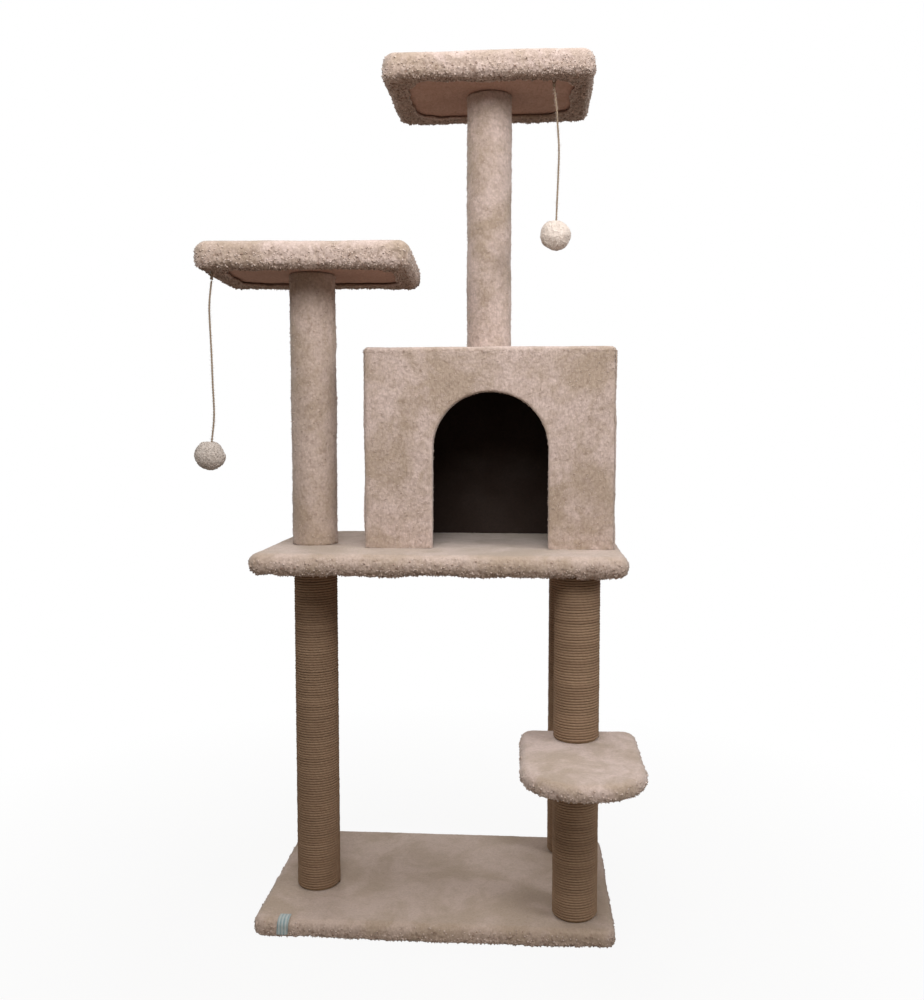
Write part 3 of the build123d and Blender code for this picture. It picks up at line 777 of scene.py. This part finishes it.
# painted shade on the left ball, its colours scaled down, and painted light on the right ball, scaled up
TOY_PILE = {"left": toy_pile("left", 0.72), "right": toy_pile("right", 1.04)}
WOUND_TWINE = twine_material()
TOY_TWINE = string_material()


# ------ cords
def follow(points):
    """Frames along a line of points: its directions and two sideways directions that don't twist."""
    ahead = unit(np.gradient(points, axis=0))
    side = np.zeros_like(points)
    side[0] = unit(np.cross(ahead[:1], [[0.0, 1.0, 0.3]]))[0]
    for k in range(1, len(points)):
        turned = side[k - 1] - ahead[k] * side[k - 1].dot(ahead[k])
        side[k] = turned / np.linalg.norm(turned)
    return ahead, side, np.cross(ahead, side)


def tube(points, radius, sides, start):
    """A tube round a line of points, closed at its ends: points, quads, end polygons."""
    _, side, other = follow(points)
    angle = TURN * np.arange(sides) / sides
    spread = np.cos(angle)[:, None] * side[:, None] + np.sin(angle)[:, None] * other[:, None]
    rings = points[:, None] + spread * radius[:, None, None]
    numbers = start + np.arange(len(points) * sides).reshape(len(points), sides)
    return rings.reshape(-1, 3), loop_quads(numbers)[:, ::-1], [numbers[0], numbers[-1][::-1]]


def rope(name, line, radius, lay, sides=7):
    """A rope of plies twisted round a line of points, one whole twist in each lay."""
    _, side, other = follow(line)
    along = np.concatenate([[0], np.cumsum(steps(line))])
    ply = radius / 2 * 1.06
    plies = []
    for k in range(PLIES):
        angle = (TURN * (along / lay + k / PLIES))[:, None]
        strand = line + (radius - ply) * (np.cos(angle) * side + np.sin(angle) * other)
        fluff = ply * (0.94 + 0.14 * clouds(strand, 0.004, 50 + k))
        plies.append(tube(strand, fluff, sides, k * len(line) * sides))
    points, quads, ends = zip(*plies)
    return mesh_object(name, np.concatenate(points), np.concatenate(quads), sum(ends, []), [TOY_TWINE])


def spline_points(route, knot):
    """Points along the NURBS spline whose control points are the route."""
    curve = bpy.data.curves.new("route", "CURVE")
    curve.dimensions = "3D"
    curve.resolution_u = 48
    spline = curve.splines.new("NURBS")
    spline.points.add(len(route) - 1)
    for point, offset in zip(spline.points, route):
        point.co = (*[k + o for k, o in zip(knot, offset)], 1.0)
    spline.order_u = 3
    spline.use_endpoint_u = True
    holder = bpy.data.objects.new("route", curve)
    mesh = bpy.data.meshes.new_from_object(holder)
    points = np.array([v.co for v in mesh.vertices], float)
    bpy.data.objects.remove(holder)
    return points


def stray_fibres(name, line, count, material):
    """Short thin fibres that stand off a string."""
    ahead, side, other = follow(line)
    at = random.integers(1, len(line) - 1, count)
    angle = random.random((count, 1)) * TURN
    out = np.cos(angle) * side[at] + np.sin(angle) * other[at]
    ground = line[at] + out * STRING * 0.8
    along = ahead[at] * (random.random((count, 1)) - 0.5)
    return curl_tufts(name, ground, unit(out + along), STRAY, 0.0, [material])


def ball_points(detail):
    """The points and triangles of an even ball, of radius 1."""
    mesh = bpy.data.meshes.new("ball")
    shape = bmesh.new()
    bmesh.ops.create_icosphere(shape, subdivisions=detail, radius=1.0)
    shape.to_mesh(mesh)
    shape.free()
    points = np.array([v.co for v in mesh.vertices], float)
    faces = np.array([p.vertices[:] for p in mesh.polygons])
    bpy.data.meshes.remove(mesh)
    return points, faces


def make_ball(side, body):
    """A curly pompom over its stuffing, a little flattened where its seams pull it in."""
    low, high = corners_of(f"{side}_ball_cover")
    out, faces = ball_points(6)
    points = (low + high) / 2 + out * (BALL - 0.0008)
    height = curl_height(points + 0.004 * drift(points, 0.007, 61), 0.0075, 70)
    lumps = clouds(points, 0.018, 66) - 0.5
    dent = 0.0035 * np.exp(-((1 - out[:, 2]) / 0.03))  # at the top, where the string goes in
    taper = 0.0016 * np.clip(-out[:, 2], 0, 1)
    moved = points + out * (0.0013 * (height - 0.5) + 0.0038 * lumps - dent - taper)[:, None]
    plush, shades = TOY_PILE[side]
    cover = mesh_object(f"{side}_ball_plush", moved, faces, materials=[plush])
    set_attribute(cover, "pile", height)
    set_attribute(cover, "curly", 0.25)
    chosen = random.integers(0, len(moved), 2400)
    curls = curl_tufts(f"{side}_ball_curls", moved[chosen], out[chosen], BALL_TUFT, 0.2, shades)
    settle(cover, body, "toy_plush", f"{side}_ball_cover")
    settle(curls, body, "toy_plush")
    return cover, curls


def make_loop(side, knot, body):
    """The loop that rides on the staple, and the knot that closes it."""
    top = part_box(f"{side}_toy_loop")[1][2]
    middle = np.array([knot[0], knot[1], top - 0.0047])
    turn = np.linspace(-0.38 * TURN, 0.88 * TURN, 90)
    leaning = turn + np.pi * 0.24
    ring = middle + 0.0034 * stacked(0.55 * np.cos(leaning), 0.06 * np.sin(turn), np.sin(leaning))
    wrap = np.linspace(0, 2.6 * TURN, 110)
    tight = 0.0014 + 0.0002 * np.sin(wrap * 0.7)
    rising = np.linspace(-0.0011, 0.0013, len(wrap))
    knotted = np.array(knot) + stacked(tight * np.cos(wrap), tight * np.sin(wrap), rising)
    settle(rope(f"{side}_loop_rope", ring, 0.0012, 0.006, 6), body, "toy_string", f"{side}_toy_loop")
    settle(rope(f"{side}_knot_rope", knotted, 0.00125, 0.006, 6), body, "toy_string")


def make_toy(side, route):
    """A toy's string from its knot to its ball, with the ball, the loop and the knot."""
    knot = next(j["pos_m"] for j in frame["joints"] if j["name"] == f"{side}_toy_fore_swing")
    line = spline_points(route, knot)
    string = rope(f"{side}_string_rope", line, STRING, 0.0085)
    body = f"{side}_toy"
    settle(string, body, "toy_string", f"{side}_toy_string")
    # the string's fibres take the ball's scaled beige, so they carry its painted shade and light too
    hairs = stray_fibres(f"{side}_string_fibres", line, 260, TOY_PILE[side][1][1])
    settle(hairs, body, "toy_string")
    cover, curls = make_ball(side, body)
    make_loop(side, knot, f"{side}_toy_hanger")


# ------ wound twine
def wind_twine(post, painted_twine_shade=0.0):
    """The twine wound on one post, turn beside turn, none of them quite even; its second argument darkens it
    as painted shade.
    """
    low, high = corners_of(f"{post}_twine")
    centre = (low + high) / 2
    outer = (high[0] - low[0]) / 2
    turns = (high[2] - low[2] - 2 * TWINE) / TWINE_PITCH
    count = round(turns * TWINE_STEPS)
    angle = np.linspace(0, TURN * turns, count)
    along = stacked(angle / 6, centre[0] * 100, 0.0)
    z = low[2] + TWINE + angle / TURN * TWINE_PITCH
    z = z + 0.0007 * (clouds(along, 1.7, 80) - 0.5)
    radius = outer - TWINE + 0.0006 * (clouds(along, 0.9, 81) - 0.5)
    line = stacked(centre[0] + radius * np.cos(angle), centre[1] + radius * np.sin(angle), z)
    thick = TWINE * (0.97 + 0.12 * clouds(along, 0.25, 82))
    out = stacked(np.cos(angle), np.sin(angle), 0.0)
    up = np.array([0.0, 0.0, 1.0])
    around = TURN * np.arange(TWINE_SIDES) / TWINE_SIDES
    inward = np.cos(around)[:, None] * out[:, None] - np.sin(around)[:, None] * up
    rings = line[:, None] - inward * thick[:, None, None]
    numbers = np.arange(count * TWINE_SIDES).reshape(count, TWINE_SIDES)
    ends = [numbers[0], numbers[-1][::-1]]
    quads = loop_quads(numbers)[:, ::-1]
    piece = mesh_object(f"{post}_winding", rings.reshape(-1, 3), quads, ends, [WOUND_TWINE])
    ply = (angle * outer / TWINE_LAY)[:, None] + np.arange(TWINE_SIDES) / TWINE_SIDES
    # painted shade: lowers the twine's tone
    tone = 0.65 * clouds(along, 2.6, 83) + 0.35 * clouds(along, 0.35, 84) - painted_twine_shade
    set_attribute(piece, "ply", ply.ravel())
    set_attribute(piece, "tone", np.repeat(tone, TWINE_SIDES))
    set_attribute(piece, "outer", np.tile(-np.cos(around), count))
    settle(piece, "tree", "twine", f"{post}_twine")


# ------ plush covers
def grown_rect(low, high, grown=0.0):
    """The plan of a box, a little larger all round."""
    return (low[0] - grown, low[1] - grown, high[0] + grown, high[1] + grown)


def cut_size(size, flange):
    """The flat size of a cover: its top, its sides, and what is turned under."""
    width, depth, height = size
    return (width + 2 * (height + flange), depth + 2 * (height + flange))


def make_flat_cover(node, board, corners, rounds, grown, drop, **pile):
    """A base or platform cover; grown is how far its pile stands out at its edges, drop how far it sags."""
    low, high = corners_of(node)
    slab = Slab(grown_rect(low, high, grown), low[2] - drop, high[2], corners, rounds, TOP_CELL)
    shell = slab.turned_under(BOARD_FLANGE, 0.012, 0.0015, PILE + grown)
    plush_piece(node, shell, flat=cut_size(high - low, BOARD_FLANGE), on=[board], **pile)


def turned_about(centre, angle):
    """A function that turns points, or directions, about an upright line."""
    c, s = math.cos(angle), math.sin(angle)
    turn = np.array([[c, s, 0], [-s, c, 0], [0, 0, 1]])
    middle = np.array([centre[0], centre[1], 0.0])

    def place(values, directions=False):
        return values @ turn if directions else (values - middle) @ turn + middle

    return place


def middle_and_size(node, like):
    """A node's middle, and its size before it was turned, which is that of the node that it is like."""
    low, high = corners_of(node)
    first, last = corners_of(like)
    return (low + high) / 2, last - first


def make_perch_cover(side, turn):
    """A perch's thick cover, its fabric turned under round a bare opening with large round corners."""
    node = f"{side}_perch_cover"
    low, high = corners_of(node)
    centre, size = middle_and_size(node, "top_perch_cover")
    grown = 0.0045
    half = size / 2 + grown
    rect = grown_rect(centre - half, centre + half)
    slab = Slab(rect, low[2] - 0.001, high[2] + grown, (0.021, 0.021), (0.011, 0.019), FINE_CELL)
    shell = slab.turned_under(PERCH_FLANGE, 0.045, 0.0022, PILE + grown)
    plush_piece(node, shell, 0.0006, 0.0024, flat=cut_size(size, PERCH_FLANGE), on=[f"{side}_perch_board"],
                place=turned_about(centre, turn))


def make_step_cover():
    """The step's cover, sewn from two half-round faces and the edge between them."""
    low, high = corners_of("step_cover")
    slab = Slab(grown_rect(low, high), low[2], high[2], (0.088, 0.022), (0.0085, 0.0130), FINE_CELL)
    width, depth, height = high - low
    off_corners = 0.0060  # what its round corners leave out
    area = 2 * width * depth + 2 * (width + depth) * height - off_corners
    plush_piece("step_cover", slab.whole(), 0.0005, 0.0020, flat=(2 * width + 2 * height, depth + 2 * height),
                area=area, on=["step_board"])


def door_outline(n_side, n_top, corner_angles):
    """Points up the doorway's left side, over its arch and down its right, and the way out from it.

    The corner angles say where on the arch the lines to the front's two top corners start.
    """
    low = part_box("condo_wall_cover")[0][2]
    left, right = corner_angles
    rise = DOOR_SPRING - low
    arc_left, arc_right = DOOR_HALF * left, DOOR_HALF * right
    s = np.concatenate([
        np.linspace(0, rise + arc_left, n_side + 1)[:-1],
        rise + arc_left + np.linspace(0, DOOR_HALF * (math.pi - left - right), n_top + 1)[:-1],
        rise + DOOR_HALF * math.pi - arc_right + np.linspace(0, rise + arc_right, n_side + 1),
    ])
    swept = np.clip((s - rise) / DOOR_HALF, 0, math.pi)
    up_left = np.minimum(s, rise)
    down_right = np.maximum(s - rise - DOOR_HALF * math.pi, 0)
    out_x, out_z = -np.cos(swept), np.sin(swept)
    return DOOR_CENTRE + DOOR_HALF * out_x, low + up_left - down_right + DOOR_HALF * out_z, out_x, out_z


def condo_front(rect, low, high, n_side, n_top):
    """A grid of the condo's front, from its border in to its doorway and round into the doorway's lining."""
    x0, y0, x1, _ = rect
    angles = [math.atan2(high - DOOR_SPRING, abs(x - DOOR_CENTRE)) for x in (x0, x1)]
    dx, dz, ox, oz = door_outline(n_side, n_top, angles)
    side = np.linspace(low, high, n_side + 1)
    top = np.linspace(x0, x1, n_top + 1)
    rim_x = np.concatenate([np.full(n_side, x0), top[:-1], np.full(n_side + 1, x1)])
    rim_z = np.concatenate([side[:-1], np.full(n_top, high), side[::-1]])
    edge_x, edge_z = dx + DOOR_ROUND * ox, dz + DOOR_ROUND * oz
    rows = []
    for t in np.arange(FRONT_ROWS + 1) / FRONT_ROWS:
        rows.append(stacked(rim_x * (1 - t) + edge_x * t, y0, rim_z * (1 - t) + edge_z * t))
    for degrees in (25, 50, 75, 90):
        angle = math.radians(degrees)
        away, depth = DOOR_ROUND * (1 - math.sin(angle)), DOOR_ROUND * (1 - math.cos(angle))
        rows.append(stacked(dx + away * ox, y0 + depth, dz + away * oz))
    for k in range(1, 8):
        rows.append(stacked(dx, y0 + DOOR_ROUND + (DOOR_DEPTH - DOOR_ROUND) * k / 7, dz))
    rows.append(stacked(dx + 0.004 * ox, y0 + DOOR_DEPTH, dz + 0.004 * oz))
    return np.array(rows)


def condo_wrap(rect, low, high, n_side, n_top):
    """A grid of the condo's sides and back, from its left front edge round to its right one."""
    x0, y0, x1, y1 = rect
    n_deep = round((y1 - y0) / CELL)
    deep = np.linspace(y0, y1, n_deep + 1)
    wide = np.linspace(x0, x1, n_top + 1)
    x = np.concatenate([np.full(n_deep, x0), wide[:-1], np.full(n_deep + 1, x1)])
    y = np.concatenate([deep[:-1], np.full(n_top, y1), deep[::-1]])
    return stacked(x[:, None], y[:, None], np.linspace(low, high, n_side + 1))


def make_condo_walls():
    """The wall cover: front, sides and back in one, with the doorway's lining."""
    low, high = corners_of("condo_wall_cover")
    rect = grown_rect(low, high)
    n_side, n_top = round((high[2] - low[2]) / CELL), round((high[0] - low[0]) / CELL)
    grids = [make(rect, low[2], high[2], n_side, n_top) for make in (condo_front, condo_wrap)]
    flat = np.concatenate([grid.reshape(-1, 3) for grid in grids])
    in_front = grids[0].size // 3
    lining = (np.arange(len(flat)) < in_front) & (flat[:, 1] > low[1] + 1e-9)
    points = slab_points(*flat.T, rect, (low[2], high[2]), (SQUARE, SQUARE), (0.0005, 0.0005))
    points[lining] = flat[lining]
    numbers = [np.arange(in_front), np.arange(in_front, len(flat))]
    quads = np.concatenate([grid_quads(n.reshape(grid.shape[:2])) for n, grid in zip(numbers, grids)])
    curly = np.where(lining, 0.3, SHORT_PILE)
    shell = merged(points, quads, curly)
    width, depth, height = high - low
    around = 2 * (width + depth)
    doorway = 2 * DOOR_HALF * (DOOR_SPRING - low[2]) + math.pi * DOOR_HALF**2 / 2
    reveal = (2 * (DOOR_SPRING - low[2]) + math.pi * DOOR_HALF) * DOOR_DEPTH
    plush_piece("condo_wall_cover", shell, 0.0001, 0.0017, flat=(around, height + DOOR_DEPTH), tuft=FLAT_TUFT,
                area=around * height - doorway + reveal, on=["condo_front_board", "condo_left_board"])


def make_condo_roof():
    """The roof's cover, which comes a little way down over the walls."""
    low, high = corners_of("condo_roof_cover")
    bottom, top = low[2] - 0.0022, high[2] + 0.0012
    slab = Slab(grown_rect(low, high), bottom, top, (SQUARE, SQUARE), (0.0004, 0.0085), TOP_CELL)
    shell = slab.turned_under(0.006, 0.012, 0.0002, PILE)
    flat = (high[0] - low[0] + 0.02, high[1] - low[1] + 0.02)
    plush_piece("condo_roof_cover", shell, 0.0005, 0.0012, flat=flat, on=["condo_roof_board"], tuft=FLAT_TUFT)


def make_plush_post(post, worn):
    """A post's plush sleeve, whose two edges meet in a seam down its back."""
    node = f"{post}_plush"
    low, high = corners_of(node)
    centre, outer = (low + high) / 2, (high[0] - low[0]) / 2
    inner, rounded = outer - SLEEVE, outer - 0.002
    bottom, top = low[2] + SLEEVE_END, high[2] - SLEEVE_END
    columns = round(TURN * outer / CELL)
    rows = round((high[2] - low[2]) / CELL)
    angle = np.pi / 2 + TURN * np.arange(columns) / columns
    levels = [(inner, top), (rounded, top)]
    levels += [(outer, z) for z in np.linspace(high[2], low[2], rows + 1)[1:-1]]
    levels += [(rounded, bottom), (inner, bottom), (inner, top)]
    rings = [stacked(centre[0] + r * np.cos(angle), centre[1] + r * np.sin(angle), z) for r, z in levels]
    points = np.concatenate(rings)
    quads = loop_quads(np.arange(len(points)).reshape(-1, columns))
    curly = np.full(len(points), SHORT_PILE)
    curly[-2 * columns:] = INSIDE
    curly[:columns] = INSIDE
    from_seam = np.abs((np.tile(angle, len(levels)) - np.pi / 2 + np.pi) % TURN - np.pi) * outer
    groove = 0.0022 * np.exp(-(from_seam / 0.0035) ** 2) * (curly > 0)
    out = stacked(points[:, 0] - centre[0], points[:, 1] - centre[1], 0.0)
    points = points - unit(out) * groove[:, None]
    shell = merged(points, quads, curly)
    plush_piece(node, shell, 0.0001, 0.0018, flat=(TURN * outer, high[2] - low[2]), on=[f"{post}_tube"],
                tuft=FLAT_TUFT, worn=worn)


def make_pad(side, turn):
    """A perch's foam sheet, its corners soft and its top a little crowned."""
    node = f"{side}_perch_pad"
    low, high = corners_of(node)
    centre, size = middle_and_size(node, "top_perch_pad")
    rect = grown_rect(centre - size / 2, centre + size / 2)
    points, quads, ends, _ = Slab(rect, low[2], high[2], (0.009, 0.009), (0.0006, 0.003), 0.008).whole()
    across = np.abs((points[:, :2] - centre[:2]) / (size[:2] / 2))
    crown = np.clip(1 - across.max(axis=1) ** 6, 0, 1) * (points[:, 2] > centre[2])
    points[:, 2] += 0.0008 * crown + 0.0005 * (clouds(points, 0.03, 91) - 0.5) * crown
    points = turned_about(centre, turn)(points)
    pad = mesh_object(f"{side}_perch_foam", points, quads, ends, [foam_material()])
    settle(pad, "tree", "foam", node)


def make_tag():
    """A blank ribbon label, bent over the base's front edge, a little slanted and lifting at its foot."""
    low, high = corners_of("base_tag")
    width = high[0] - low[0]
    bend = 0.0105
    thickness = 0.0006
    top, front = high[2] + thickness, low[1] - thickness
    profile = [(front - 0.0008, low[2]), (front - 0.0001, low[2] + 0.006)]
    profile += [(front, z) for z in np.linspace(low[2] + 0.010, top - bend, 4)]
    for degrees in range(15, 91, 15):
        angle = math.radians(degrees)
        profile.append((front + bend * (1 - math.cos(angle)), top - bend * (1 - math.sin(angle))))
    profile += [(front + bend + 0.004, top), (high[1], top - 0.0012)]
    profile = np.array(profile)
    across = np.linspace(0, width, TAG_COLUMNS)
    y, z = profile[:, :1], profile[:, 1:]
    slant = 0.0022 * (z - low[2]) / (top - low[2])
    curl = 0.0005 * np.sin(np.pi * across / width)
    points = stacked(low[0] + across + slant, y - curl, z).reshape(-1, 3)
    numbers = np.arange(len(points)).reshape(-1, TAG_COLUMNS)
    tag = mesh_object("base_ribbon", points, grid_quads(numbers)[:, ::-1], materials=[ribbon_material()])
    thick = tag.modifiers.new("thickness", "SOLIDIFY")
    thick.thickness = thickness
    thick.offset = 0.0
    smooth = tag.modifiers.new("smooth", "SUBSURF")
    smooth.levels = smooth.render_levels = 2
    settle(tag, "tree", "tag", "base_tag")


# ------ carried-over parts
def dress_cad():
    """Gives each carried-over part its material, by how its name ends; the rest is zinc-plated steel."""
    # the condo's boards are near-black: painted shade for its dark inside
    hardboard = board_material("shade_painted_hardboard", (0.034, 0.018, 0.012), (0.018, 0.010, 0.007))
    board = board_material("fibre_board", (0.55, 0.345, 0.27), (0.36, 0.215, 0.16))
    endings = {"_board": board, "_tube": cardboard_material(), "_plugs": softwood_material(),
               "_core": stuffing_material()}
    steel = steel_material()
    for name, part in frame["nodes"].items():
        material = next((m for ending, m in endings.items() if name.endswith(ending)), steel)
        # painted shade: condo boards take the near-black board
        if name.startswith("condo_") and material is board:
            material = hardboard
        part.data.materials.clear()
        part.data.materials.append(material)


# ------ stage
def make_floor():
    """A plain pale floor that goes over into the white background."""
    s = Shader("floor")
    at = s.place()
    shade = s.mix(s.spread(s.noise(3.0, at), 0.3, 0.7), (0.38, 0.335, 0.30), (0.42, 0.37, 0.335))
    material = s.finish(shade, Roughness=0.9)
    distance = s.add("VectorMath", {0: at}, operation="LENGTH").outputs["Value"]
    share = s.times(s.camera_ray(), s.spread(distance, 0.4, 1.2, 0.93, 1.0))
    white = s.add("Emission", {"Color": WHITE, "Strength": 1.0})
    both = s.add("MixShader", {0: share, 1: s.surface.outputs[0], 2: white.outputs[0]})
    s.tree.links.new(both.outputs[0], s.tree.nodes["Material Output"].inputs["Surface"])
    points = FLOOR_HALF * np.array([(-1, -1, 0), (1, -1, 0), (1, 1, 0), (-1, 1, 0)])
    floor = mesh_object("floor", points, np.array([[0, 1, 2, 3]]), materials=[material])


def area_light(name, place, aim, size, power):
    """A round soft light of size metres and power watts, turned to aim."""
    light = bpy.data.lights.new(name, "AREA")
    light.shape = "DISK"
    light.size = size
    light.energy = power
    lamp = added(name, light)
    lamp.location = place
    lamp.rotation_euler = (Vector(aim) - Vector(place)).to_track_quat("-Z", "Y").to_euler()


def make_light():
    """Soft lights all round, a faint warm glow from everywhere, and a background that looks white."""
    area_light("overhead", (0.35, -0.27, 3.0), (0.05, 0.0, 0.8), 1.2, 21.0)
    area_light("front", (0.08, -1.40, 1.85), (0.0, 0.0, 1.5), 1.0, 21.0)
    area_light("left", (-1.9, -1.0, 1.9), (0.0, 0.0, 1.1), 1.2, 4.0)
    area_light("right", (2.1, -1.0, 1.9), (0.0, 0.0, 1.1), 1.2, 18.0)
    area_light("back", (-0.9, 2.3, 1.8), (0.0, 0.0, 1.0), 1.4, 16.0)
    s = Shader("studio", world=True)
    bpy.context.scene.world = s.finish(s.mix(s.camera_ray(), (0.235, 0.212, 0.188), WHITE))
    bpy.context.scene.view_settings.view_transform = "Standard"


# ------ the whole scene
make_camera()
dress_cad()
make_toy("left", LEFT_ROUTE)
make_toy("right", RIGHT_ROUTE)
# the left lower post's twine is darkened with painted shade
wind_twine("left_lower_post", 0.4)
for post in ("front_right_lower_post", "front_right_upper_post", "back_right_post"):
    wind_twine(post)
# the base and platform covers carry painted shade, given by their last arguments
make_flat_cover("base_cover", "base_board", (0.022, 0.018), (0.007, 0.013), 0.0005, 0.0,
                calm=0.0005, lively=0.0020, floor=0.0001, worn=0.4)
make_flat_cover("platform_cover", "platform_board", (0.022, 0.022), (0.016, 0.017), 0.004, 0.003,
                calm=0.0005, lively=0.0026, worn=0.3)
make_step_cover()
make_condo_walls()
make_condo_roof()
for side, turn in (("left", PERCH_TURN), ("top", 0.0)):
    make_perch_cover(side, turn)
    make_pad(side, turn)
# the left upper post's sleeve carries painted shade; the top post's none
make_plush_post("left_upper_post", 0.3)
make_plush_post("top_post", 0.0)
make_tag()
make_floor()
make_light()
